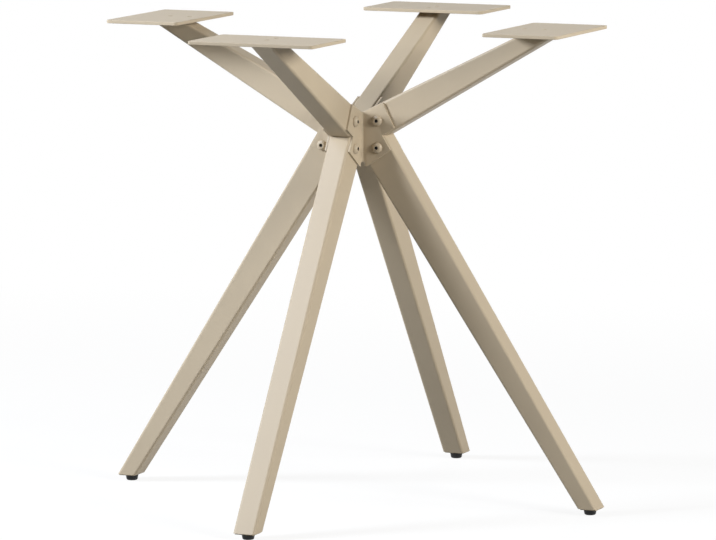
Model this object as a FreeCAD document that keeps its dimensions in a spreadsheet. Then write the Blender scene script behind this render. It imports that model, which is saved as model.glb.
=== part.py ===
# X-shaped table base: four welded units of tapered steel box, bolted at the hub with folded corner brackets.
# Millimetres. The origin is on the floor under the hub and +Z is up. The units point along +X, +Y, -X and -Y.
import FreeCAD, Part
import math
import os
import Sketcher

os.makedirs("parts", exist_ok=True)
doc = FreeCAD.newDocument("table_base")

# Driving sizes, in millimetres
driving_sizes = {
    # Whole base
    "table_height": 720.0,
    "unit_thickness": 35.0,
    "sheet_wall": 2.0,
    "box_corner": 4.0,
    "hub_gap": 0.4,
    # Top plates
    "plate_radius": 307.5,
    "plate_across": 200.0,
    "plate_along": 120.0,
    "plate_thickness": 5.0,
    "plate_corner": 6.0,
    "plate_edge": 0.8,
    "plate_hole": 8.0,
    "plate_hole_pitch": 32.0,
    # Arms: how far below the table top their edge lines meet the axis, and the length of the end under the plate
    "arm_top_drop": 141.0,
    "arm_bottom_drop": 198.8,
    "arm_end_length": 54.2,
    "mitre_drop": 155.0,
    "mitre_groove": 2.4,
    # Legs: how far below the table top their edge lines meet the axis, and the lower end's place and length
    "leg_outer_drop": 76.9,
    "leg_inner_drop": 169.0,
    "leg_end_length": 30.8,
    "leg_end_radius": 382.0,
    "foot_set_in": 1.4,
    "foot_height": 8.8,
    # Corner brackets
    "bracket_thickness": 3.0,
    "bracket_bend": 3.0,
    "bracket_arm_reach": 54.3,
    "bracket_leg_reach": 28.5,
    "bracket_top_margin": 0.8,
    "bracket_outer_margin": 2.3,
    "bracket_inner_overhang": 1.0,
    "bracket_corner": 1.5,
    "bracket_relief": 7.2,
    "bracket_relief_height": 6.6,
    # Screws at the hub
    "screw_radius": 45.5,
    "screw_pitch": 40.6,
    "screw_size": 8.0,
    "screw_length": 16.0,
    "screw_tip_chamfer": 0.6,
    "screw_head": 16.0,
    "screw_head_height": 5.0,
    "screw_head_rim": 1.2,
    "screw_head_crown": 9.4,
    "screw_head_dome": 6.4,
    "screw_socket": 5.0,
    "screw_socket_depth": 2.8,
    "screw_hole_play": 1.0,
    "sleeve_size": 14.0,
    # Feet
    "foot_plate_thickness": 5.0,
    "foot_plate_proud": 1.4,
    "pad_top": 20.5,
    "pad_bottom": 17.0,
    "pad_edge": 2.5,
    "pad_recess": 10.0,
    "pad_floor": 4.0,
    "foot_screw_size": 5.0,
    "foot_screw_length": 10.0,
    "foot_screw_head": 8.5,
    "foot_screw_head_face": 6.8,
    "foot_screw_head_height": 3.0,
    "foot_screw_slot": 1.2,
    "foot_screw_slot_depth": 1.4,
    # Clearance between pieces that pass through or sit inside each other
    "fit_clearance": 0.05,
}

sheet = doc.addObject("Spreadsheet::Sheet", "Sizes")
for row, (alias, size) in enumerate(driving_sizes.items(), start=1):
    sheet.set(f"A{row}", alias)
    sheet.set(f"B{row}", str(size))
    sheet.setAlias(f"B{row}", alias)
doc.recompute()


def bound(words):
    """Turns an expression in plain size names into one that reads the sheet."""
    for alias in sorted(driving_sizes, key=len, reverse=True):
        words = words.replace(f"<{alias}>", f"Sizes.{alias}")
    return words


def value(words):
    """The number that an expression gives with the sheet as it is now."""
    return float(sheet.evalExpression(bound(words)))


# Lines and points that several pieces share, as expressions in the sheet's sizes
plate_underside = "(<table_height> - <plate_thickness>)"
arm_top_on_axis = "(<table_height> - <arm_top_drop>)"
arm_bottom_on_axis = "(<table_height> - <arm_bottom_drop>)"
mitre_on_axis = "(<table_height> - <mitre_drop>)"
leg_outer_on_axis = "(<table_height> - <leg_outer_drop>)"
leg_inner_on_axis = "(<table_height> - <leg_inner_drop>)"
arm_inner_end = "(<plate_radius> - <arm_end_length> / 2)"
arm_outer_end = "(<plate_radius> + <arm_end_length> / 2)"
leg_outer_end = "(<leg_end_radius> + <leg_end_length> / 2)"
leg_inner_end = "(<leg_end_radius> - <leg_end_length> / 2)"
leg_floor = "(<foot_height> + <foot_plate_proud>)"
foot_radius = "(<leg_end_radius> - <foot_set_in>)"

# Slopes: height gained for each millimetre out from the axis, and height lost along the legs
arm_top_rise = f"(({plate_underside} - {arm_top_on_axis}) / {arm_inner_end})"
arm_bottom_rise = f"(({plate_underside} - {arm_bottom_on_axis}) / {arm_outer_end})"
leg_outer_fall = f"(({leg_outer_on_axis} - {leg_floor}) / {leg_outer_end})"
leg_inner_fall = f"(({leg_inner_on_axis} - {leg_floor}) / {leg_inner_end})"

# The notch where the arm's underside meets the leg's outer face
notch_r = f"(({leg_outer_on_axis} - {arm_bottom_on_axis}) / ({arm_bottom_rise} + {leg_outer_fall}))"
notch_z = f"({arm_bottom_on_axis} + {notch_r} * {arm_bottom_rise})"

# The mitre between arm and leg runs from the notch to the axis, and the screws lie evenly above and below it
mitre_at_screws = f"({mitre_on_axis} + ({notch_z} - {mitre_on_axis}) * <screw_radius> / {notch_r})"

half_thickness = "(<unit_thickness> / 2)"
flange_face = f"({half_thickness} + <bracket_thickness>)"
screw_heights = [
    f"({mitre_at_screws} + <screw_pitch> / 2)",
    f"({mitre_at_screws} - <screw_pitch> / 2)",
]

# Lengths below this count as nothing
tiny = 1e-6


def new_body(label):
    body = doc.addObject("PartDesign::Body", label)
    body.Label = label
    return body


def new_sketch(body, role, name, height=None):
    """A sketch on one of the body's own origin planes, raised along the plane's normal if height is given."""
    plane = next(f for f in body.Origin.OriginFeatures if f.Role == role)
    sketch = body.newObject("Sketcher::SketchObject", f"{body.Name}_{name}")
    sketch.AttachmentSupport = [(plane, "")]
    sketch.MapMode = "FlatFace"
    if height:
        sketch.setExpression("AttachmentOffset.Base.z", bound(height))
    return sketch


def hold_point(sketch, line, end, across, up):
    """Fixes a line's end at two expressions, measured from the sketch's origin."""
    for kind, words, axis in (("DistanceX", across, -2), ("DistanceY", up, -1)):
        if abs(value(words)) < tiny:
            sketch.addConstraint(Sketcher.Constraint("PointOnObject", line, end, axis))
            continue
        index = sketch.addConstraint(Sketcher.Constraint(kind, -1, 1, line, end, value(words)))
        sketch.setExpression(f"Constraints[{index}]", bound(words))


def draw_outline(sketch, corners):
    """A closed outline of straight lines through corners given as pairs of expressions."""
    points = [FreeCAD.Vector(value(across), value(up), 0) for across, up in corners]
    first = sketch.GeometryCount
    for start, end in zip(points, points[1:] + points[:1]):
        sketch.addGeometry(Part.LineSegment(start, end))
    count = len(corners)
    for step, (across, up) in enumerate(corners):
        line = first + step
        sketch.addConstraint(Sketcher.Constraint("Coincident", line, 2, first + (step + 1) % count, 1))
        hold_point(sketch, line, 1, across, up)


def draw_circle(sketch, across, up, diameter):
    centre = FreeCAD.Vector(value(across), value(up), 0)
    circle = sketch.addGeometry(Part.Circle(centre, FreeCAD.Vector(0, 0, 1), value(diameter) / 2))
    hold_point(sketch, circle, 3, across, up)
    index = sketch.addConstraint(Sketcher.Constraint("Diameter", circle, value(diameter)))
    sketch.setExpression(f"Constraints[{index}]", bound(diameter))


def pad(body, sketch, length, centred=False, backwards=False):
    feature = body.newObject("PartDesign::Pad", f"{sketch.Name}_pad")
    feature.Profile = sketch
    feature.Midplane = centred
    feature.Reversed = backwards
    feature.setExpression("Length", bound(length))
    doc.recompute()
    return feature


def cut(body, sketch, length=None, backwards=False):
    """A pocket: through everything both ways, or to a given depth on one side."""
    before = body.Shape.Volume
    feature = body.newObject("PartDesign::Pocket", f"{sketch.Name}_cut")
    feature.Profile = sketch
    if length:
        feature.Reversed = backwards
        feature.setExpression("Length", bound(length))
    else:
        feature.Type = "ThroughAll"
        feature.Midplane = True
    doc.recompute()
    if not body.Shape.Volume < before:
        raise RuntimeError(f"{feature.Name} cuts nothing")
    return feature


def revolve(body, sketch, axis):
    feature = body.newObject("PartDesign::Revolution", f"{sketch.Name}_turned")
    feature.Profile = sketch
    feature.ReferenceAxis = (sketch, [axis])
    feature.Angle = 360
    doc.recompute()
    return feature


def names_where(kind, shape, test):
    items = shape.Edges if kind == "Edge" else shape.Faces
    return [f"{kind}{number}" for number, item in enumerate(items, start=1) if test(item)]


def round_edges(body, name, radius, test):
    base = body.Tip
    feature = body.newObject("PartDesign::Fillet", f"{body.Name}_{name}")
    feature.Base = (base, names_where("Edge", base.Shape, test))
    feature.setExpression("Radius", bound(radius))
    doc.recompute()
    return feature


def runs_along(edge, direction):
    ends = [vertex.Point for vertex in edge.Vertexes]
    if len(ends) != 2:
        return False
    along = ends[1] - ends[0]
    return along.Length > 0 and abs(abs(along.dot(direction)) / along.Length - 1) < tiny


def is_level(edge):
    heights = [vertex.Z for vertex in edge.Vertexes]
    return max(heights) - min(heights) < tiny


def make_box_member(label, outline, first_side, second_side):
    """A tapered sheet-metal box, open at its ends: padded, rounded along its four long edges, hollowed, mitred.

    first_side and second_side are pairs of outline corners, the ends of the box's two long tapering walls.
    """
    body = new_body(label)
    profile = new_sketch(body, "XZ_Plane", "profile")
    draw_outline(profile, outline)
    pad(body, profile, "<unit_thickness>", centred=True)
    long_walls = []
    for start, end in (first_side, second_side):
        ends = [FreeCAD.Vector(value(across), 0, value(up)) for across, up in (start, end)]
        long_walls.append((ends[1] - ends[0]).normalize())
    round_edges(body, "long_edges", "<box_corner>",
                lambda edge: any(runs_along(edge, direction) for direction in long_walls))

    # The two long walls and the two sides stay, and every other face is an open end
    def is_open_end(face):
        if face.Surface.TypeId != "Part::GeomPlane":
            return False
        normal = face.normalAt(0, 0)
        return abs(normal.y) < 0.5 and all(abs(normal.dot(direction)) > 1e-3 for direction in long_walls)

    base = body.Tip
    hollow = body.newObject("PartDesign::Thickness", f"{body.Name}_hollow")
    hollow.Base = (base, names_where("Face", base.Shape, is_open_end))
    hollow.setExpression("Value", bound("<sheet_wall>"))
    hollow.Reversed = True
    hollow.Mode = "Skin"
    hollow.Join = "Intersection"
    doc.recompute()

    # The end at the hub is a wedge in plan, so that four units meet round the axis
    wedge = new_sketch(body, "XY_Plane", "wedge")
    tip = "(<hub_gap> / sqrt(2))"
    wide = "<unit_thickness>"
    draw_outline(wedge, [(tip, "0"), (f"{tip} + {wide}", wide), ("0", wide), ("0", f"-{wide}"),
                         (f"{tip} + {wide}", f"-{wide}")])
    cut(body, wedge)
    return body


def drill_for_screw(body, height):
    holes = new_sketch(body, "XZ_Plane", "screw_hole")
    draw_circle(holes, "<screw_radius>", height, "<screw_size> + <screw_hole_play>")
    cut(body, holes)


def cut_mitre_groove(body):
    """The fine groove left across the unit where the arm's underside is welded to the leg's outer face."""
    groove = new_sketch(body, "XZ_Plane", "mitre_groove")
    draw_circle(groove, notch_r, notch_z, "<mitre_groove>")
    cut(body, groove)


def make_arm(label):
    top = [("0", arm_top_on_axis), (arm_inner_end, plate_underside)]
    bottom = [(arm_outer_end, plate_underside), (notch_r, notch_z)]
    body = make_box_member(label, top + bottom + [("0", mitre_on_axis)], top, bottom)
    cut_mitre_groove(body)
    drill_for_screw(body, screw_heights[0])
    return body


def make_leg(label):
    outer = [(notch_r, notch_z), (leg_outer_end, leg_floor)]
    inner = [(leg_inner_end, leg_floor), ("0", leg_inner_on_axis)]
    body = make_box_member(label, [("0", mitre_on_axis)] + outer + inner, outer, inner)
    cut_mitre_groove(body)
    drill_for_screw(body, screw_heights[1])
    return body


def make_top_plate(label):
    """A flat plate on the arm's end, with a hole at its middle and one nearer the hub, clear of the arm."""
    body = new_body(label)
    blank = new_sketch(body, "XY_Plane", "blank", plate_underside)
    near = "(<plate_radius> - <plate_along> / 2)"
    far = "(<plate_radius> + <plate_along> / 2)"
    side = "(<plate_across> / 2)"
    draw_outline(blank, [(near, f"-{side}"), (far, f"-{side}"), (far, side), (near, side)])
    pad(body, blank, "<plate_thickness>")
    up = FreeCAD.Vector(0, 0, 1)
    round_edges(body, "corners", "<plate_corner>", lambda edge: runs_along(edge, up))
    round_edges(body, "rims", "<plate_edge>", is_level)
    holes = new_sketch(body, "XY_Plane", "holes")
    draw_circle(holes, "<plate_radius>", "0", "<plate_hole>")
    draw_circle(holes, "<plate_radius> - <plate_hole_pitch>", "0", "<plate_hole>")
    cut(body, holes)
    return body


def make_foot_plate(label):
    """The thick plate welded inside the leg's lower end. It stands a little proud of the end and is tapped."""
    body = new_body(label)
    profile = new_sketch(body, "XZ_Plane", "profile")
    ceiling = "(<foot_height> + <foot_plate_thickness>)"
    inset = "(<sheet_wall> + <fit_clearance>)"
    outer_inset = f"({inset} * sqrt(1 + {leg_outer_fall}^2) / {leg_outer_fall})"
    inner_inset = f"({inset} * sqrt(1 + {leg_inner_fall}^2) / {leg_inner_fall})"
    outer_low = f"({leg_outer_end} + <foot_plate_proud> / {leg_outer_fall} - {outer_inset})"
    inner_low = f"({leg_inner_end} + <foot_plate_proud> / {leg_inner_fall} + {inner_inset})"
    outer_high = f"({outer_low} - <foot_plate_thickness> / {leg_outer_fall})"
    inner_high = f"({inner_low} - <foot_plate_thickness> / {leg_inner_fall})"
    draw_outline(profile, [(inner_low, "<foot_height>"), (outer_low, "<foot_height>"),
                           (outer_high, ceiling), (inner_high, ceiling)])
    pad(body, profile, f"<unit_thickness> - 2 * {inset}", centred=True)
    across = FreeCAD.Vector(0, 1, 0)
    along = FreeCAD.Vector(1, 0, 0)
    round_edges(body, "corners", "(<box_corner> - <sheet_wall>)",
                lambda edge: not runs_along(edge, across) and not runs_along(edge, along))
    hole = new_sketch(body, "XY_Plane", "hole")
    draw_circle(hole, foot_radius, "0", "<foot_screw_size> + 2 * <fit_clearance>")
    cut(body, hole)
    return body


def make_foot_pad(label):
    """A conical rubber foot, widest at the leg, with a recess from below for its screw."""
    body = new_body(label)
    profile = new_sketch(body, "XZ_Plane", "profile")
    bore = "(<foot_screw_size> / 2 + <fit_clearance>)"
    recess = "(<pad_recess> / 2)"
    shoulder = "(<foot_height> - <pad_floor>)"
    draw_outline(profile, [(bore, shoulder), (recess, shoulder), (recess, "0"), ("<pad_bottom> / 2", "0"),
                           ("<pad_top> / 2", "<foot_height>"), (bore, "<foot_height>")])
    revolve(body, profile, "V_Axis")
    widest = value("<pad_bottom> / 2")

    def is_lower_edge(edge):
        on_floor = all(abs(vertex.Z) < tiny for vertex in edge.Vertexes)
        return on_floor and abs(edge.Curve.Radius - widest) < tiny

    def is_round(edge):
        return edge.Curve.TypeId == "Part::GeomCircle"

    round_edges(body, "lower_edge", "<pad_edge>", lambda edge: is_round(edge) and is_lower_edge(edge))
    return body


def make_foot_screw(label):
    """A slotted pan-head screw, its head up in the pad's recess and its thread in the foot plate."""
    body = new_body(label)
    profile = new_sketch(body, "XZ_Plane", "profile")
    seat = "(<foot_height> - <pad_floor>)"
    low = f"({seat} - <foot_screw_head_height>)"
    head = "(<foot_screw_head> / 2)"
    shank = "(<foot_screw_size> / 2)"
    draw_outline(profile, [("0", low), ("<foot_screw_head_face> / 2", low), (head, f"({low} + {seat}) / 2"),
                           (head, seat), (shank, seat), (shank, f"{seat} + <foot_screw_length>"),
                           ("0", f"{seat} + <foot_screw_length>")])
    revolve(body, profile, "V_Axis")
    slot = new_sketch(body, "XY_Plane", "slot", low)
    half = "(<foot_screw_slot> / 2)"
    draw_outline(slot, [(f"-{half}", f"-{head}"), (half, f"-{head}"), (half, head), (f"-{half}", head)])
    cut(body, slot, "<foot_screw_slot_depth>", backwards=True)
    return body


def make_bracket(label):
    """A folded corner bracket: a flange on each of two units, cut to their outline, and the bend between."""
    body = new_body(label)
    inner_bend_r = f"({flange_face} + <bracket_bend>)"

    # Its edges run parallel to the boxes' own: where each would meet the axis
    top_line = f"({arm_top_on_axis} - <bracket_top_margin> * sqrt(1 + {arm_top_rise}^2))"
    bottom_line = f"({arm_bottom_on_axis} + <bracket_outer_margin> * sqrt(1 + {arm_bottom_rise}^2))"
    outer_line = f"({leg_outer_on_axis} - <bracket_outer_margin> * sqrt(1 + {leg_outer_fall}^2))"
    inner_line = f"({leg_inner_on_axis} - <bracket_inner_overhang> * sqrt(1 + {leg_inner_fall}^2))"
    bend_top = f"({top_line} + {inner_bend_r} * {arm_top_rise})"
    crotch_r = f"(({outer_line} - {bottom_line}) / ({arm_bottom_rise} + {leg_outer_fall}))"
    crotch_z = f"({bottom_line} + {crotch_r} * {arm_bottom_rise})"

    # One end is cut square to the arm's top, the other square to the leg's inner face
    arm_high = f"({top_line} + <bracket_arm_reach> * {arm_top_rise})"
    arm_cut = f"(({arm_high} - {bottom_line} - <bracket_arm_reach> * {arm_bottom_rise})" \
              f" / (1 + {arm_top_rise} * {arm_bottom_rise}))"
    arm_corner = (f"(<bracket_arm_reach> + {arm_cut} * {arm_top_rise})", f"({arm_high} - {arm_cut})")
    leg_low = f"({inner_line} - <bracket_leg_reach> * {leg_inner_fall})"
    leg_cut = f"(({outer_line} - {leg_low} - <bracket_leg_reach> * {leg_outer_fall})" \
              f" / (1 + {leg_inner_fall} * {leg_outer_fall}))"
    leg_corner = (f"(<bracket_leg_reach> + {leg_cut} * {leg_inner_fall})", f"({leg_low} + {leg_cut})")
    flange = [(inner_bend_r, bend_top), ("<bracket_arm_reach>", arm_high), arm_corner, (crotch_r, crotch_z),
              leg_corner, ("<bracket_leg_reach>", leg_low), (inner_bend_r, leg_low)]

    bend = new_sketch(body, "XY_Plane", "bend", leg_low)
    centre = value(inner_bend_r)
    bend_centre = FreeCAD.Vector(centre, centre, 0)
    upright = FreeCAD.Vector(0, 0, 1)
    for radius in ("<bracket_bend>", "(<bracket_bend> + <bracket_thickness>)"):
        circle = Part.Circle(bend_centre, upright, value(radius))
        arc = bend.addGeometry(Part.ArcOfCircle(circle, math.pi, 1.5 * math.pi))
        hold_point(bend, arc, 3, inner_bend_r, inner_bend_r)
        index = bend.addConstraint(Sketcher.Constraint("Radius", arc, value(radius)))
        bend.setExpression(f"Constraints[{index}]", bound(radius))
        bend.addConstraint(Sketcher.Constraint("Horizontal", arc, 1, arc, 3))
        bend.addConstraint(Sketcher.Constraint("Vertical", arc, 2, arc, 3))
    for end in (1, 2):
        starts = [bend.getPoint(0, end), bend.getPoint(1, end)]
        line = bend.addGeometry(Part.LineSegment(*starts))
        bend.addConstraint(Sketcher.Constraint("Coincident", line, 1, 0, end))
        bend.addConstraint(Sketcher.Constraint("Coincident", line, 2, 1, end))
    pad(body, bend, f"{bend_top} - {leg_low}")

    # The XZ plane's normal points along -Y and the YZ plane's along +X
    side_a = new_sketch(body, "XZ_Plane", "side_a", f"-{half_thickness}")
    draw_outline(side_a, flange)
    pad(body, side_a, "<bracket_thickness>", backwards=True)
    side_b = new_sketch(body, "YZ_Plane", "side_b", half_thickness)
    draw_outline(side_b, flange)
    pad(body, side_b, "<bracket_thickness>")

    sharp = [(value(across), value(up)) for across, up in flange[1:-1]]

    def is_flange_corner(edge):
        ends = [vertex.Point for vertex in edge.Vertexes]
        if len(ends) != 2 or abs(ends[0].z - ends[1].z) > tiny:
            return False
        middle = (ends[0] + ends[1]) / 2
        reach = max(middle.x, middle.y)
        return any(math.hypot(reach - r, middle.z - z) < 1e-3 for r, z in sharp)

    round_edges(body, "corners", "<bracket_corner>", is_flange_corner)
    for role, name in (("XZ_Plane", "holes_a"), ("YZ_Plane", "holes_b")):
        holes = new_sketch(body, role, name)
        for height in screw_heights:
            draw_circle(holes, "<screw_radius>", height, "<screw_size> + <screw_hole_play>")
        cut(body, holes)

    # The relief at the fold's lower end is a slot with a round top, cut square to the corner
    half_relief = "(<bracket_relief> / 2)"
    relief_centre = f"({leg_low} + <bracket_relief_height> - {half_relief})"
    relief_foot = f"({leg_low} - {half_relief})"
    square_to_corner = FreeCAD.Rotation(FreeCAD.Vector(0, 1, 0), -45)
    round_top = new_sketch(body, "XZ_Plane", "relief_top")
    draw_circle(round_top, "0", relief_centre, "<bracket_relief>")
    slot = new_sketch(body, "XZ_Plane", "relief_slot")
    draw_outline(slot, [(f"-{half_relief}", relief_foot), (half_relief, relief_foot),
                        (half_relief, relief_centre), (f"-{half_relief}", relief_centre)])
    for relief in (round_top, slot):
        relief.AttachmentOffset = FreeCAD.Placement(FreeCAD.Vector(), square_to_corner)
        cut(body, relief)
    return body


def make_sleeves(label):
    """Two threaded sleeves that fill the box from side wall to side wall behind the screw holes."""
    body = new_body(label)
    body.AllowCompound = True
    rings = new_sketch(body, "XZ_Plane", "rings")
    for height in screw_heights:
        draw_circle(rings, "<screw_radius>", height, "<sleeve_size>")
        draw_circle(rings, "<screw_radius>", height, "<screw_size> + 2 * <fit_clearance>")
    pad(body, rings, "<unit_thickness> - 2 * <sheet_wall>", centred=True)
    return body


def make_hub_screw():
    """One button-head screw with a hexagon socket. It stands on its axis, its head's seat at zero height."""
    body = new_body("hub_screw")
    profile = new_sketch(body, "XZ_Plane", "profile")
    shank = "(<screw_size> / 2)"
    head = "(<screw_head> / 2)"
    crown = "(<screw_head_crown> / 2)"
    tip = "<screw_tip_chamfer>"
    corners = [("0", "-<screw_length>"), (f"{shank} - {tip}", "-<screw_length>"),
               (shank, f"{tip} - <screw_length>"), (shank, "0"), (head, "0"), (head, "<screw_head_rim>"),
               (crown, "<screw_head_height>"), ("0", "<screw_head_height>")]
    points = [FreeCAD.Vector(value(across), value(up), 0) for across, up in corners]
    dome = corners.index((head, "<screw_head_rim>"))
    rim_point, crown_point = points[dome], points[dome + 1]
    chord = crown_point - rim_point
    outwards = FreeCAD.Vector(chord.y, -chord.x, 0).normalize()
    dome_radius = value("<screw_head_dome>")
    rise = dome_radius - math.sqrt(dome_radius ** 2 - (chord.Length / 2) ** 2)
    bulge = (rim_point + crown_point) / 2 + outwards * rise
    count = len(corners)
    for step in range(count):
        if step == dome:
            profile.addGeometry(Part.Arc(rim_point, bulge, crown_point))
        else:
            profile.addGeometry(Part.LineSegment(points[step], points[(step + 1) % count]))
    rim_end = 1 if (profile.getPoint(dome, 1) - rim_point).Length < tiny else 2
    crown_end = 3 - rim_end
    for step, (across, up) in enumerate(corners):
        following = (step + 1) % count
        start = rim_end if step == dome else 1
        end = crown_end if step == dome else 2
        joined = rim_end if following == dome else 1
        profile.addConstraint(Sketcher.Constraint("Coincident", step, end, following, joined))
        hold_point(profile, step, start, across, up)
    index = profile.addConstraint(Sketcher.Constraint("Radius", dome, dome_radius))
    profile.setExpression(f"Constraints[{index}]", bound("<screw_head_dome>"))
    revolve(body, profile, "V_Axis")
    socket = new_sketch(body, "XY_Plane", "socket", "<screw_head_height>")
    flat = "(<screw_socket> / 2)"
    corner = "(<screw_socket> / sqrt(3))"
    draw_outline(socket, [(corner, "0"), (f"{corner} / 2", flat), (f"-{corner} / 2", flat),
                          (f"-{corner}", "0"), (f"-{corner} / 2", f"-{flat}"), (f"{corner} / 2", f"-{flat}")])
    cut(body, socket, "<screw_socket_depth>")
    return body


def make_unit_screws(label, screw):
    """The four screws of one unit: two from each side, each seated on a bracket's flange."""
    links = []
    for turn in (1, -1):
        for height in screw_heights:
            link = doc.addObject("App::Link", f"{label}_{len(links) + 1}")
            link.LinkedObject = screw
            link.Placement.Rotation = FreeCAD.Rotation(FreeCAD.Vector(1, 0, 0), -90 * turn)
            link.setExpression("Placement.Base.x", bound("<screw_radius>"))
            link.setExpression("Placement.Base.y", bound(f"{turn} * {flange_face}"))
            link.setExpression("Placement.Base.z", bound(height))
            links.append(link)
    screws = doc.addObject("Part::Compound", label)
    screws.Label = label
    screws.Links = links
    return screws


def turn_about_axis(piece, angle):
    piece.Placement = FreeCAD.Placement(FreeCAD.Vector(), FreeCAD.Rotation(FreeCAD.Vector(0, 0, 1), angle))


def set_on_foot(piece, angle):
    """Moves a turned piece from the axis out to the foot of the unit at that angle."""
    piece.setExpression("Placement.Base.x", bound(f"{foot_radius} * cos({angle} deg)"))
    piece.setExpression("Placement.Base.y", bound(f"{foot_radius} * sin({angle} deg)"))
    piece.Placement.Rotation = FreeCAD.Rotation(FreeCAD.Vector(0, 0, 1), angle)


sub_parts = []
hub_screw = make_hub_screw()
for side, angle in (("right", 0), ("back", 90), ("left", 180), ("front", 270)):
    unit_pieces = [
        make_arm(f"{side}_arm"),
        make_leg(f"{side}_leg"),
        make_top_plate(f"{side}_top_plate"),
        make_sleeves(f"{side}_hub_sleeves"),
        make_unit_screws(f"{side}_unit_screws", hub_screw),
        make_foot_plate(f"{side}_foot_plate"),
    ]
    for piece in unit_pieces:
        turn_about_axis(piece, angle)
    foot_pieces = [make_foot_pad(f"{side}_foot_pad"), make_foot_screw(f"{side}_foot_screw")]
    for piece in foot_pieces:
        set_on_foot(piece, angle)
    sub_parts += unit_pieces + foot_pieces

for corner, angle in (("back_right", 0), ("back_left", 90), ("front_left", 180), ("front_right", 270)):
    bracket = make_bracket(f"{corner}_bracket")
    turn_about_axis(bracket, angle)
    sub_parts.append(bracket)
doc.recompute()

faults = [item.Name for item in doc.Objects if {"Invalid", "Error"} & set(item.State)]
for piece in sub_parts:
    if piece.Shape.isNull() or not piece.Shape.isValid():
        faults.append(piece.Label)
if faults:
    raise RuntimeError("faulty: " + ", ".join(faults))

for piece in sub_parts:
    piece.Shape.exportStep(f"parts/{piece.Label}.step")
    print(f"{piece.Label}: {len(piece.Shape.Solids)} solid, {piece.Shape.Volume:.0f} cubic mm")
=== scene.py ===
# X-shaped table base in powder-coated steel: finishes, screws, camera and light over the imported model.
import math
import bpy
from mathutils import Matrix, Vector


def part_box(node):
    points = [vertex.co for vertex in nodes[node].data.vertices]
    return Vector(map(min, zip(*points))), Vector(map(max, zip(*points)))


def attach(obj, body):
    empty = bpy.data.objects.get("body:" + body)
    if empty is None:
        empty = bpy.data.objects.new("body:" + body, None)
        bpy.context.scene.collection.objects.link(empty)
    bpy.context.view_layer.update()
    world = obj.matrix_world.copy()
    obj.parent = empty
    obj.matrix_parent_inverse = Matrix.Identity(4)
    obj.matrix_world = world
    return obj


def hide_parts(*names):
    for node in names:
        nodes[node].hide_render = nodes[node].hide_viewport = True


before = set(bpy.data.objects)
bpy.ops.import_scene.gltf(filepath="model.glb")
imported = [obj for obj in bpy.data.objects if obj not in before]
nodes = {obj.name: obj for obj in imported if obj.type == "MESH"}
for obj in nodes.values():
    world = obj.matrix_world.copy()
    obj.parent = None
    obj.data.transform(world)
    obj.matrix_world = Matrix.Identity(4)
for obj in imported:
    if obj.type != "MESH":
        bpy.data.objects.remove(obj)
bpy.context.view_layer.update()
print("Loaded the packed model:", len(nodes), "solids")

mm = 0.001
mergeDistance = 0.001 * mm     # points closer than this are merged
unitAngles = {"right": 0, "back": 90, "left": 180, "front": 270}   # degrees anticlockwise from the right
cornerNames = ("back_right", "back_left", "front_left", "front_right")


# Materials
mixLow, mixHigh, mixResult = 6, 7, 2    # the colour sockets of a Mix node: two inputs and the output
bandsPerMetre = 20 / (2 * math.pi)      # what a wave texture draws along an axis at a scale of one


def linearColour(hexColour):
    # sRGB hex to the linear values that the shader wants
    channels = [int(hexColour[i:i + 2], 16) / 255 for i in (1, 3, 5)]
    return [c / 12.92 if c <= 0.04045 else ((c + 0.055) / 1.055) ** 2.4 for c in channels] + [1.0]


def addNode(tree, kind, settings=None, links=None):
    # settings and links name an input or give its number, and any other setting is a property of the node
    node = tree.nodes.new(kind)
    for name, setting in (settings or {}).items():
        if isinstance(name, int) or name in node.inputs:
            node.inputs[name].default_value = setting
        else:
            setattr(node, name, setting)
    for name, output in (links or {}).items():
        tree.links.new(node.inputs[name], output)
    return node


def newMaterial(name):
    material = bpy.data.materials.new(name)
    material.use_nodes = True
    material.node_tree.nodes.clear()
    return material, material.node_tree


def perMillimetre(size):
    # A noise texture's scale for features of about this many millimetres
    return 1 / (size * mm)


powderCoatLook = {
    "colour": "#C1B299",
    "thinColour": "#BAAB93",       # where the film is thinner, a shade down
    "roughness": (0.40, 0.47),
    "shine": 0.15,                 # under a clear lacquer's 0.5, as the matting agent leaves it
    "filmPatches": 55.0,           # mm, how far apart thick and thin film lie
    "orangePeel": 2.4,             # mm from crest to crest
    "orangePeelHeight": 0.012,     # mm
    "grain": 0.7,                  # mm, really about 0.1 and too fine to show, so drawn coarser
    "grainHeight": 0.0025,         # mm
    "ripple": 1.7,                 # mm, about what lies between two ripples of a weld seam
    "rippleHeight": 0.22,          # mm
    "rippleWander": 1.5,           # how unevenly the ripples run
}

# The film on the small heads is smoother and slightly glossier
boltCoatLook = {
    **powderCoatLook,
    "roughness": (0.30, 0.36),
    "shine": 0.25,
}


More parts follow.
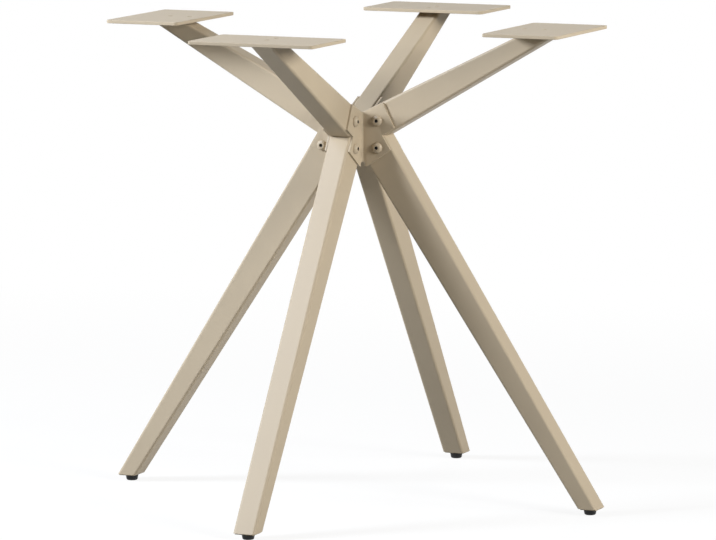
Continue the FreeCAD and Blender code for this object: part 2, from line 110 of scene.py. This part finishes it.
def makePowderCoat(name, look, onWeld=False):
    # Satin polyester powder coat on steel: an even, slightly soft sheen with a faint orange peel
    material, tree = newMaterial(name)
    place = addNode(tree, "ShaderNodeTexCoord").outputs["Object"]
    film = addNode(tree, "ShaderNodeTexNoise", {"Scale": perMillimetre(look["filmPatches"]), "Detail": 2.0},
                   {"Vector": place}).outputs["Fac"]
    colour = addNode(tree, "ShaderNodeMix", {
        "data_type": "RGBA", mixLow: linearColour(look["thinColour"]), mixHigh: linearColour(look["colour"])},
        {"Factor": film}).outputs[mixResult]
    sheen = addNode(tree, "ShaderNodeMapRange", {
        "To Min": look["roughness"][0], "To Max": look["roughness"][1]}, {"Value": film}).outputs["Result"]
    peel = addNode(tree, "ShaderNodeTexNoise", {"Scale": perMillimetre(look["orangePeel"]), "Detail": 1.0},
                   {"Vector": place}).outputs["Fac"]
    grain = addNode(tree, "ShaderNodeTexNoise", {"Scale": perMillimetre(look["grain"]), "Detail": 2.0},
                    {"Vector": place}).outputs["Fac"]
    surface = addNode(tree, "ShaderNodeBump", {"Distance": look["orangePeelHeight"] * mm},
                      {"Height": peel}).outputs["Normal"]
    surface = addNode(tree, "ShaderNodeBump", {"Distance": look["grainHeight"] * mm},
                      {"Height": grain, "Normal": surface}).outputs["Normal"]
    if onWeld:
        # The pool's ripples show through the coat, slanted across the seam
        ripples = addNode(tree, "ShaderNodeTexWave", {
            "wave_type": "BANDS", "bands_direction": "DIAGONAL", "wave_profile": "SIN",
            "Scale": perMillimetre(look["ripple"]) / bandsPerMetre,
            "Distortion": look["rippleWander"], "Detail": 1.0}, {"Vector": place}).outputs["Fac"]
        surface = addNode(tree, "ShaderNodeBump", {"Distance": look["rippleHeight"] * mm},
                          {"Height": ripples, "Normal": surface}).outputs["Normal"]
    shader = addNode(tree, "ShaderNodeBsdfPrincipled", {"IOR": 1.5, "Specular IOR Level": look["shine"]},
                     {"Base Color": colour, "Roughness": sheen, "Normal": surface})
    addNode(tree, "ShaderNodeOutputMaterial", None, {"Surface": shader.outputs["BSDF"]})
    return material


rubberLook = {
    "colour": "#0D0D0E",
    "worn": "#19191A",
    "roughness": 0.55,
    "shine": 0.3,
    "mottle": 6.0,          # mm
    "grain": 0.5,           # mm, the mould's fine blasting
    "grainHeight": 0.02,    # mm
}


def makeRubber(look):
    # Moulded black rubber: matt, with the fine grain of a blasted mould
    material, tree = newMaterial("moulded black rubber")
    place = addNode(tree, "ShaderNodeTexCoord").outputs["Object"]
    mottle = addNode(tree, "ShaderNodeTexNoise", {"Scale": perMillimetre(look["mottle"]), "Detail": 3.0},
                     {"Vector": place}).outputs["Fac"]
    colour = addNode(tree, "ShaderNodeMix", {
        "data_type": "RGBA", mixLow: linearColour(look["colour"]), mixHigh: linearColour(look["worn"])},
        {"Factor": mottle}).outputs[mixResult]
    grain = addNode(tree, "ShaderNodeTexNoise", {"Scale": perMillimetre(look["grain"]), "Detail": 2.0},
                    {"Vector": place}).outputs["Fac"]
    surface = addNode(tree, "ShaderNodeBump", {"Distance": look["grainHeight"] * mm},
                      {"Height": grain}).outputs["Normal"]
    shader = addNode(tree, "ShaderNodeBsdfPrincipled", {
        "IOR": 1.52, "Roughness": look["roughness"], "Specular IOR Level": look["shine"]},
        {"Base Color": colour, "Normal": surface})
    addNode(tree, "ShaderNodeOutputMaterial", None, {"Surface": shader.outputs["BSDF"]})
    return material


zincLook = {
    "colour": "#C6C8CB",
    "dull": "#A9ABB0",
    "roughness": (0.28, 0.42),
    "spangle": 4.0,         # mm
}


def makeZinc(look):
    # Zinc-plated steel: a clear bluish-white plate, slightly cloudy
    material, tree = newMaterial("zinc plated steel")
    place = addNode(tree, "ShaderNodeTexCoord").outputs["Object"]
    cloud = addNode(tree, "ShaderNodeTexNoise", {"Scale": perMillimetre(look["spangle"]), "Detail": 4.0},
                    {"Vector": place}).outputs["Fac"]
    colour = addNode(tree, "ShaderNodeMix", {
        "data_type": "RGBA", mixLow: linearColour(look["dull"]), mixHigh: linearColour(look["colour"])},
        {"Factor": cloud}).outputs[mixResult]
    sheen = addNode(tree, "ShaderNodeMapRange", {
        "To Min": look["roughness"][0], "To Max": look["roughness"][1]}, {"Value": cloud}).outputs["Result"]
    shader = addNode(tree, "ShaderNodeBsdfPrincipled", {"Metallic": 1.0},
                     {"Base Color": colour, "Roughness": sheen})
    addNode(tree, "ShaderNodeOutputMaterial", None, {"Surface": shader.outputs["BSDF"]})
    return material


blackSteelLook = {
    "colour": "#16140F",
    "worn": "#2A2822",
    "roughness": 0.55,
    "mottle": 1.5,          # mm
}


def makeBlackSteel(look):
    # Phosphated steel under the coat: near black, dull and a little blotchy
    material, tree = newMaterial("black phosphated steel")
    place = addNode(tree, "ShaderNodeTexCoord").outputs["Object"]
    mottle = addNode(tree, "ShaderNodeTexNoise", {"Scale": perMillimetre(look["mottle"]), "Detail": 3.0},
                     {"Vector": place}).outputs["Fac"]
    colour = addNode(tree, "ShaderNodeMix", {
        "data_type": "RGBA", mixLow: linearColour(look["colour"]), mixHigh: linearColour(look["worn"])},
        {"Factor": mottle}).outputs[mixResult]
    shader = addNode(tree, "ShaderNodeBsdfPrincipled", {"Metallic": 0.3, "Roughness": look["roughness"]},
                     {"Base Color": colour})
    addNode(tree, "ShaderNodeOutputMaterial", None, {"Surface": shader.outputs["BSDF"]})
    return material


powderCoat = makePowderCoat("satin powder coat, sand beige", powderCoatLook)
weldCoat = makePowderCoat("satin powder coat over a weld seam", powderCoatLook, onWeld=True)
boltCoat = makePowderCoat("glossier powder coat of the bolts", boltCoatLook)
rubber = makeRubber(rubberLook)
zinc = makeZinc(zincLook)
blackSteel = makeBlackSteel(blackSteelLook)
nodeFinishes = {"foot_pad": rubber, "foot_screw": zinc, "hub_sleeves": zinc}
for name, solid in nodes.items():
    finish = next((material for ending, material in nodeFinishes.items() if name.endswith(ending)), powderCoat)
    solid.data.materials.clear()
    solid.data.materials.append(finish)
print("Finished the solids")


# Modelling steps that the pieces share
def selectOnly(piece):
    bpy.ops.object.select_all(action="DESELECT")
    piece.select_set(True)
    bpy.context.view_layer.objects.active = piece


def editMesh(piece, steps):
    # Runs edit-mode steps on one piece, with everything in it selected at the start
    selectOnly(piece)
    bpy.ops.object.mode_set(mode="EDIT")
    bpy.ops.mesh.select_all(action="SELECT")
    steps()
    bpy.ops.object.mode_set(mode="OBJECT")


def editFaces(piece, faces, steps):
    # Runs edit-mode steps with only the faces of these indices selected
    selectOnly(piece)
    bpy.ops.object.mode_set(mode="EDIT")
    bpy.ops.mesh.select_mode(type="FACE")
    bpy.ops.mesh.select_all(action="DESELECT")
    bpy.ops.object.mode_set(mode="OBJECT")
    for index in faces:
        piece.data.polygons[index].select = True
    bpy.ops.object.mode_set(mode="EDIT")
    steps()
    bpy.ops.mesh.select_mode(type="VERT")
    bpy.ops.object.mode_set(mode="OBJECT")


def applyModifier(piece, kind, settings):
    selectOnly(piece)
    modifier = piece.modifiers.new(kind.lower(), kind)
    for name, setting in settings.items():
        setattr(modifier, name, setting)
    bpy.ops.object.modifier_apply(modifier=modifier.name)


def smoothPiece(piece, degrees):
    # Edges that turn by more than this stay sharp
    selectOnly(piece)
    bpy.ops.object.shade_smooth_by_angle(angle=math.radians(degrees))


def turned(degrees, axis="Z"):
    return Matrix.Rotation(math.radians(degrees), 4, axis)


def copyPiece(model, name, placed=Matrix()):
    # A copy with its own mesh, which is moved in place of the object
    piece = model.copy()
    piece.data = model.data.copy()
    piece.name = name
    bpy.context.scene.collection.objects.link(piece)
    piece.data.transform(placed)
    return piece


def finishPiece(piece, slot, *stands):
    # stands are the solids whose place the piece takes
    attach(piece, "root")
    if stands:
        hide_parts(*stands)


def spinProfile(name, outline, facets):
    # Turns an outline, pairs of millimetres out from the axis and along it, into a closed round solid
    start = Vector((outline[0][0], 0, outline[0][1])) * mm
    bpy.ops.object.select_all(action="DESELECT")
    bpy.ops.mesh.primitive_plane_add(size=mm, location=start)
    piece = bpy.context.object
    piece.name = name
    bpy.ops.object.transform_apply(location=True, rotation=True, scale=True)

    def turn():
        bpy.ops.mesh.merge(type="CENTER")
        for (outFrom, upFrom), (outTo, upTo) in zip(outline, outline[1:]):
            step = ((outTo - outFrom) * mm, 0, (upTo - upFrom) * mm)
            bpy.ops.mesh.extrude_region_move(TRANSFORM_OT_translate={"value": step})
        bpy.ops.mesh.select_all(action="SELECT")
        bpy.ops.mesh.spin(steps=facets, angle=2 * math.pi, center=(0, 0, 0), axis=(0, 0, 1))
        bpy.ops.mesh.select_all(action="SELECT")
        bpy.ops.mesh.remove_doubles(threshold=mergeDistance)
        bpy.ops.mesh.normals_make_consistent(inside=False)

    editMesh(piece, turn)
    return piece


def arcPoints(start, end, radius, count):
    # Points along an arc between two points of an outline, with its centre to the left of the way to the end
    a, b = Vector(start), Vector(end)
    chord = b - a
    half = chord.length / 2
    toCentre = Vector((-chord.y, chord.x)).normalized() * math.sqrt(radius ** 2 - half ** 2)
    centre = (a + b) / 2 + toCentre
    first = math.atan2(a.y - centre.y, a.x - centre.x)
    sweep = 2 * math.asin(half / radius)
    return [(centre.x + radius * math.cos(first + sweep * i / count),
             centre.y + radius * math.sin(first + sweep * i / count)) for i in range(count + 1)]


# Corner brackets: the folded sheets with their cut edges softened, as the coat leaves them
bracket = {
    "sheet": 3.0,           # mm thick
    "edge": 0.8,            # mm, the radius of the tumbled and coated edges
    "edgeSteps": 3,
    "flatAngle": 0.5,       # degrees, faces that turn by less than this are merged
    "cutAngle": 40,         # edges that turn by more than this are cut edges
    "smoothAngle": 30,      # edges that turn by more than this stay sharp
    "topDrop": 0.9,         # mm, how far its top edges lie under the solid's, clear of the arms' round corners
    "facingUp": 0.7,        # faces whose normal rises by more than this are the top edges
}


def makeBrackets():
    def mergeFaces():
        bpy.ops.mesh.remove_doubles(threshold=mergeDistance)
        bpy.ops.mesh.dissolve_limited(angle_limit=math.radians(bracket["flatAngle"]))
        bpy.ops.mesh.select_all(action="DESELECT")

    def lowerTop():
        bpy.ops.transform.translate(value=(0, 0, -bracket["topDrop"] * mm))

    for corner in cornerNames:
        piece = copyPiece(nodes[corner + "_bracket"], corner + "_gusset")
        editMesh(piece, mergeFaces)
        tops = [face.index for face in piece.data.polygons if face.normal.z > bracket["facingUp"]]
        editFaces(piece, tops, lowerTop)
        applyModifier(piece, "BEVEL", {
            "width": bracket["edge"] * mm, "segments": bracket["edgeSteps"],
            "limit_method": "ANGLE", "angle_limit": math.radians(bracket["cutAngle"])})
        smoothPiece(piece, bracket["smoothAngle"])
        finishPiece(piece, "powder_coat", corner + "_bracket")
    print("Made the brackets")


# Button-head bolts: four on each unit, two from each side, their heads coated and their sockets bare
bolt = {
    "rim": 1.2,             # mm, the straight edge under the dome
    "rimEdge": 0.35,        # its small bevel at the seat
    "domeRadius": 6.4,
    "domeSteps": 8,
    "crown": 9.4,           # the flat at the top, across
    "crownEdge": (0.5, 0.12),   # how far in and down the crown's soft edge goes
    "socket": 5.0,          # across flats
    "socketDepth": 3.2,     # from the top of the head
    "socketLeadIn": 0.5,    # how far the mouth's cone opens beyond the corners
    "shank": 8.0,           # across
    "length": 16.0,         # under the head
    "tip": 0.8,             # the bevel at its end
    "facets": 48,
    "smoothAngle": 35,      # degrees, edges that turn by more than this stay sharp
    "socketTurns": (12, 47, 28, 3),   # degrees, how the four sockets happen to stand
}
pickSlack = 0.05    # mm, how far past the socket's corners its faces are looked for


def makeBolt(headSize, headHeight):
    shank = bolt["shank"] / 2
    rim = headSize / 2
    crown = bolt["crown"] / 2
    edgeIn, edgeDown = bolt["crownEdge"]
    dome = arcPoints((rim, bolt["rim"]), (crown, headHeight - edgeDown), bolt["domeRadius"], bolt["domeSteps"])
    head = spinProfile("bolt", [
        (0, -bolt["length"]), (shank - bolt["tip"], -bolt["length"]), (shank, bolt["tip"] - bolt["length"]),
        (shank, 0), (rim - bolt["rimEdge"], 0), (rim, bolt["rimEdge"]), *dome,
        (crown - edgeIn, headHeight), (0, headHeight)], bolt["facets"])

    # The socket is cut by a hexagon, and its mouth by a short cone
    corner = bolt["socket"] / math.sqrt(3)
    leadIn = bolt["socketLeadIn"]
    bpy.ops.object.select_all(action="DESELECT")
    bpy.ops.mesh.primitive_cylinder_add(vertices=6, radius=corner * mm, depth=2 * bolt["socketDepth"] * mm,
                                        location=(0, 0, headHeight * mm))
    hexagon = bpy.context.object
    bpy.ops.mesh.primitive_cone_add(vertices=bolt["facets"], radius1=(corner - leadIn) * mm,
                                    radius2=(corner + leadIn) * mm, depth=2 * leadIn * mm,
                                    location=(0, 0, headHeight * mm))
    mouth = bpy.context.object
    for cutter in (hexagon, mouth):
        applyModifier(head, "BOOLEAN", {"object": cutter, "operation": "DIFFERENCE", "solver": "EXACT"})
        bpy.data.objects.remove(cutter)
    head.data.materials.append(boltCoat)
    head.data.materials.append(blackSteel)
    for face in head.data.polygons:
        middle = face.center / mm
        nearAxis = math.hypot(middle.x, middle.y) < corner + pickSlack
        inSocket = nearAxis and 0 < middle.z < headHeight - leadIn / 2
        face.material_index = 1 if inSocket or middle.z < 0 else 0
    smoothPiece(head, bolt["smoothAngle"])
    return head


def makeUnitBolts():
    low, high = (Vector(corner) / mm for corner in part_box("right_unit_screws"))
    headSize = high.x - low.x
    reach = (high.x + low.x) / 2
    seat = Vector(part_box("right_arm")[1]).y / mm + bracket["sheet"]
    heights = (high.z - headSize / 2, low.z + headSize / 2)
    places = [(face, height) for face in (1, -1) for height in heights]
    model = makeBolt(headSize, high.y - seat)
    for side, angle in unitAngles.items():
        name = side + "_bolts"
        copies = []
        for socketTurn, (face, height) in zip(bolt["socketTurns"], places):
            placed = Matrix.Translation(Vector((reach, face * seat, height)) * mm)
            laid = turned(-90 * face, "X")
            copies.append(copyPiece(model, name, turned(angle) @ placed @ laid @ turned(socketTurn + angle)))
        selectOnly(copies[0])
        for single in copies:
            single.select_set(True)
        bpy.ops.object.join()
        finishPiece(copies[0], "screw_coat", side + "_unit_screws")
    bpy.data.objects.remove(model)
    print("Made the bolts")


# Feet: moulded rubber cones with a lip, a rounded tread and a recess for the screw's head
foot = {
    "lip": 0.8,             # mm, the straight edge at the top
    "lipEdge": 0.25,        # its bevel
    "waist": 0.55,          # how far the side draws in below the lip
    "waistHeight": 0.5,     # and over what height
    "taper": 1.75,          # how much less the radius is at the tread
    "tread": 2.5,           # height of the rounded lower edge
    "treadRadius": 2.6,
    "treadFlat": 2.0,       # how far inside the taper the edge starts
    "treadSpread": 0.25,    # and how far outside it ends
    "treadSteps": 6,
    "bore": 5.1,            # across, round the screw
    "recess": 10.0,         # across, round the screw's head
    "floor": 4.0,           # the thickness of the rubber over the recess
    "edge": 0.4,            # the bevels of the recess
    "facets": 64,
    "smoothAngle": 40,      # degrees
}


def makeFeet():
    low, high = (Vector(corner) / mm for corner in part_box("right_foot_pad"))
    top = (high.y - low.y) / 2
    height = high.z - low.z
    base = top - foot["taper"]
    bore, recess, edge, lipEdge = foot["bore"] / 2, foot["recess"] / 2, foot["edge"], foot["lipEdge"]
    shoulder = height - foot["floor"]
    underLip = height - foot["lip"]
    tread = arcPoints((base - foot["treadFlat"], 0), (base + foot["treadSpread"], foot["tread"]),
                      foot["treadRadius"], foot["treadSteps"])
    model = spinProfile("foot", [
        (bore, height), (bore, shoulder), (recess - edge, shoulder), (recess, shoulder - edge),
        (recess, edge), (recess + edge, 0), *tread, (top - foot["waist"], underLip - foot["waistHeight"]),
        (top, underLip), (top, height - lipEdge), (top - lipEdge, height), (bore, height)], foot["facets"])
    model.data.materials.append(rubber)
    smoothPiece(model, foot["smoothAngle"])
    placed = Matrix.Translation(((low.x + high.x) / 2 * mm, 0, 0))
    for side, angle in unitAngles.items():
        finishPiece(copyPiece(model, side + "_foot", turned(angle) @ placed), "rubber", side + "_foot_pad")
    bpy.data.objects.remove(model)
    print("Made the feet")


# Weld seams: a small bead round each arm where it meets the underside of its plate
weld = {
    "bead": 1.7,            # mm, its radius
    "below": 0.6,           # how far its middle lies under the plate
    "roundness": 3,         # rings of facets on each quarter of the bead
}


def makeWelds():
    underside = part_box("right_top_plate")[0][2]

    def sliceArm():
        # What is left of the arm is its outline just under the plate, as an outer and an inner loop
        bpy.ops.mesh.remove_doubles(threshold=mergeDistance)
        bpy.ops.mesh.bisect(plane_co=(0, 0, underside - weld["below"] * mm), plane_no=(0, 0, 1))
        bpy.ops.mesh.select_all(action="INVERT")
        bpy.ops.mesh.delete(type="VERT")
        bpy.ops.mesh.select_all(action="SELECT")
        bpy.ops.mesh.separate(type="LOOSE")

    editMesh(copyPiece(nodes["right_arm"], "weld"), sliceArm)
    loops = sorted(bpy.context.selected_objects, key=lambda loop: loop.dimensions.x)
    model = loops.pop()
    for loop in loops:
        bpy.data.objects.remove(loop)
    selectOnly(model)
    model.data.materials.clear()
    bpy.ops.object.convert(target="CURVE")
    model.data.bevel_depth = weld["bead"] * mm
    model.data.bevel_resolution = weld["roundness"]
    bpy.ops.object.convert(target="MESH")
    model.data.materials.append(weldCoat)
    bpy.ops.object.shade_smooth()
    for side, angle in unitAngles.items():
        finishPiece(copyPiece(model, side + "_weld", turned(angle)), "powder_coat")
    bpy.data.objects.remove(model)
    print("Made the weld seams")


makeUnitBolts()
makeBrackets()
makeFeet()
makeWelds()


# Floor, light and camera
studio = {
    "floorRadius": 14.0,            # m
    "floorSides": 96,
    "floorDrop": 0.0002,            # m, how far it lies under the feet
    "floorColour": "#959593",       # as the object sees it, so that the undersides stay dark
    "floorSeenColour": "#F6F6F5",   # as the camera sees it
    "floorGlow": 0.88,              # how much of that is plain white, the rest takes the shadow
    "shadowReach": (1.0, 2.4),      # m, how far out the shadow starts and ends to fade into plain white
    "domeColour": "#FFFFFF",
    "domeStrength": 0.02,
    "lampDistance": 3.2,            # m
    "aimHeight": 0.45,              # m, how high over the floor the lamps point
}


def seenDirectly(tree):
    # One where a camera, mirror or see-through ray meets a surface, nought for light bounced off it
    rays = addNode(tree, "ShaderNodeLightPath").outputs
    total = rays["Is Camera Ray"]
    for kind in ("Is Glossy Ray", "Is Transmission Ray"):
        total = addNode(tree, "ShaderNodeMath", {"operation": "MAXIMUM"}, {0: total, 1: rays[kind]}).outputs[0]
    return total


def makeFloor():
    material, tree = newMaterial("pale studio floor")
    seen = seenDirectly(tree)
    place = addNode(tree, "ShaderNodeTexCoord").outputs["Object"]
    away = addNode(tree, "ShaderNodeVectorMath", {"operation": "LENGTH"}, {"Vector": place}).outputs["Value"]
    plain = addNode(tree, "ShaderNodeMapRange", {
        "From Min": studio["shadowReach"][0], "From Max": studio["shadowReach"][1],
        "To Min": studio["floorGlow"], "To Max": 1.0}, {"Value": away}).outputs["Result"]
    glow = addNode(tree, "ShaderNodeMath", {"operation": "MULTIPLY"}, {0: seen, 1: plain}).outputs[0]
    colour = addNode(tree, "ShaderNodeMix", {
        "data_type": "RGBA", mixLow: linearColour(studio["floorColour"]),
        mixHigh: linearColour(studio["floorSeenColour"])}, {"Factor": seen}).outputs[mixResult]
    matt = addNode(tree, "ShaderNodeBsdfDiffuse", None, {"Color": colour}).outputs[0]
    white = addNode(tree, "ShaderNodeEmission", {"Strength": 1.0}).outputs[0]
    mixed = addNode(tree, "ShaderNodeMixShader", None, {0: glow, 1: matt, 2: white}).outputs[0]
    addNode(tree, "ShaderNodeOutputMaterial", None, {"Surface": mixed})
    bpy.ops.mesh.primitive_circle_add(vertices=studio["floorSides"], radius=studio["floorRadius"],
                                      fill_type="NGON", location=(0, 0, -studio["floorDrop"]))
    floor = bpy.context.object
    floor.name = "studio_floor"
    floor.data.materials.append(material)


def makeDome():
    # White wherever it is seen or mirrored, and next to no light of its own
    world = bpy.data.worlds.new("studio dome")
    bpy.context.scene.world = world
    world.use_nodes = True
    tree = world.node_tree
    tree.nodes.clear()
    colour = linearColour(studio["domeColour"])
    lit = addNode(tree, "ShaderNodeBackground", {
        "Color": colour, "Strength": studio["domeStrength"]}).outputs[0]
    plain = addNode(tree, "ShaderNodeBackground", {"Color": colour, "Strength": 1.0}).outputs[0]
    mixed = addNode(tree, "ShaderNodeMixShader", None, {0: seenDirectly(tree), 1: lit, 2: plain}).outputs[0]
    addNode(tree, "ShaderNodeOutputWorld", None, {"Surface": mixed})


# Each soft box: degrees round from the front towards the right and then up, metres across, watts
softBoxes = {
    "key": {"from": (-56, 26), "size": 0.8, "power": 153, "colour": "#EEF4FF"},
    "right": {"from": (72, 20), "size": 0.8, "power": 67, "colour": "#FFFDFA"},
    "side": {"from": (92, 24), "size": 0.8, "power": 26, "colour": "#FFFDFA"},
    # A large panel that shows only as the sheen on the front leg and on the round corners
    "sheen": {"from": (-39, 49), "size": 1.2, "power": 110, "colour": "#DDE8FF", "only": "sheen"},
    # A weak fill from behind, so that the far sides aren't lost in shadow
    "back": {"from": (192, 8), "size": 0.8, "power": 26, "colour": "#FFFFFF", "only": "fill"},
}


def makeSoftBoxes():
    for name, box in softBoxes.items():
        around, up = (math.radians(a) for a in box["from"])
        outward = Vector((math.sin(around) * math.cos(up), -math.cos(around) * math.cos(up), math.sin(up)))
        lamp = bpy.data.lights.new(name, "AREA")
        lamp.shape = "SQUARE"
        lamp.size = box["size"]
        lamp.energy = box["power"]
        lamp.color = linearColour(box["colour"])[:3]
        holder = bpy.data.objects.new(name, lamp)
        holder.visible_diffuse = box.get("only") != "sheen"
        holder.visible_glossy = box.get("only") != "fill"
        holder.location = Vector((0, 0, studio["aimHeight"])) + outward * studio["lampDistance"]
        holder.rotation_euler = outward.to_track_quat("Z", "Y").to_euler()
        bpy.context.scene.collection.objects.link(holder)


cameraView = {
    "place": (3.3055, -7.2741, 1.4300),   # m
    "yaw": 114.415,                       # degrees, the way it looks in plan
    "pitch": -7.7235,
    "roll": -0.2171,
    "lens": 269.31,                       # mm
    "sensor": 36.0,                       # mm
    "farthest": 100.0,                    # m
}


def makeCamera():
    yaw, pitch, roll = (math.radians(cameraView[a]) for a in ("yaw", "pitch", "roll"))
    forward = Vector((math.cos(yaw) * math.cos(pitch), math.sin(yaw) * math.cos(pitch), math.sin(pitch)))
    level = Vector((math.sin(yaw), -math.cos(yaw), 0))
    upward = level.cross(forward)
    right = level * math.cos(roll) + upward * math.sin(roll)
    top = upward * math.cos(roll) - level * math.sin(roll)
    lens = bpy.data.cameras.new("camera")
    lens.lens = cameraView["lens"]
    lens.sensor_width = cameraView["sensor"]
    lens.clip_end = cameraView["farthest"]
    camera = bpy.data.objects.new("camera", lens)
    stand = Matrix((right, top, -forward)).transposed().to_4x4()
    camera.matrix_world = Matrix.Translation(cameraView["place"]) @ stand
    bpy.context.scene.collection.objects.link(camera)
    bpy.context.scene.camera = camera


bpy.ops.object.select_all(action="DESELECT")
makeFloor()
makeDome()
makeSoftBoxes()
makeCamera()
bpy.context.scene.view_settings.view_transform = "Standard"
print("Set up the floor, the light and the camera")
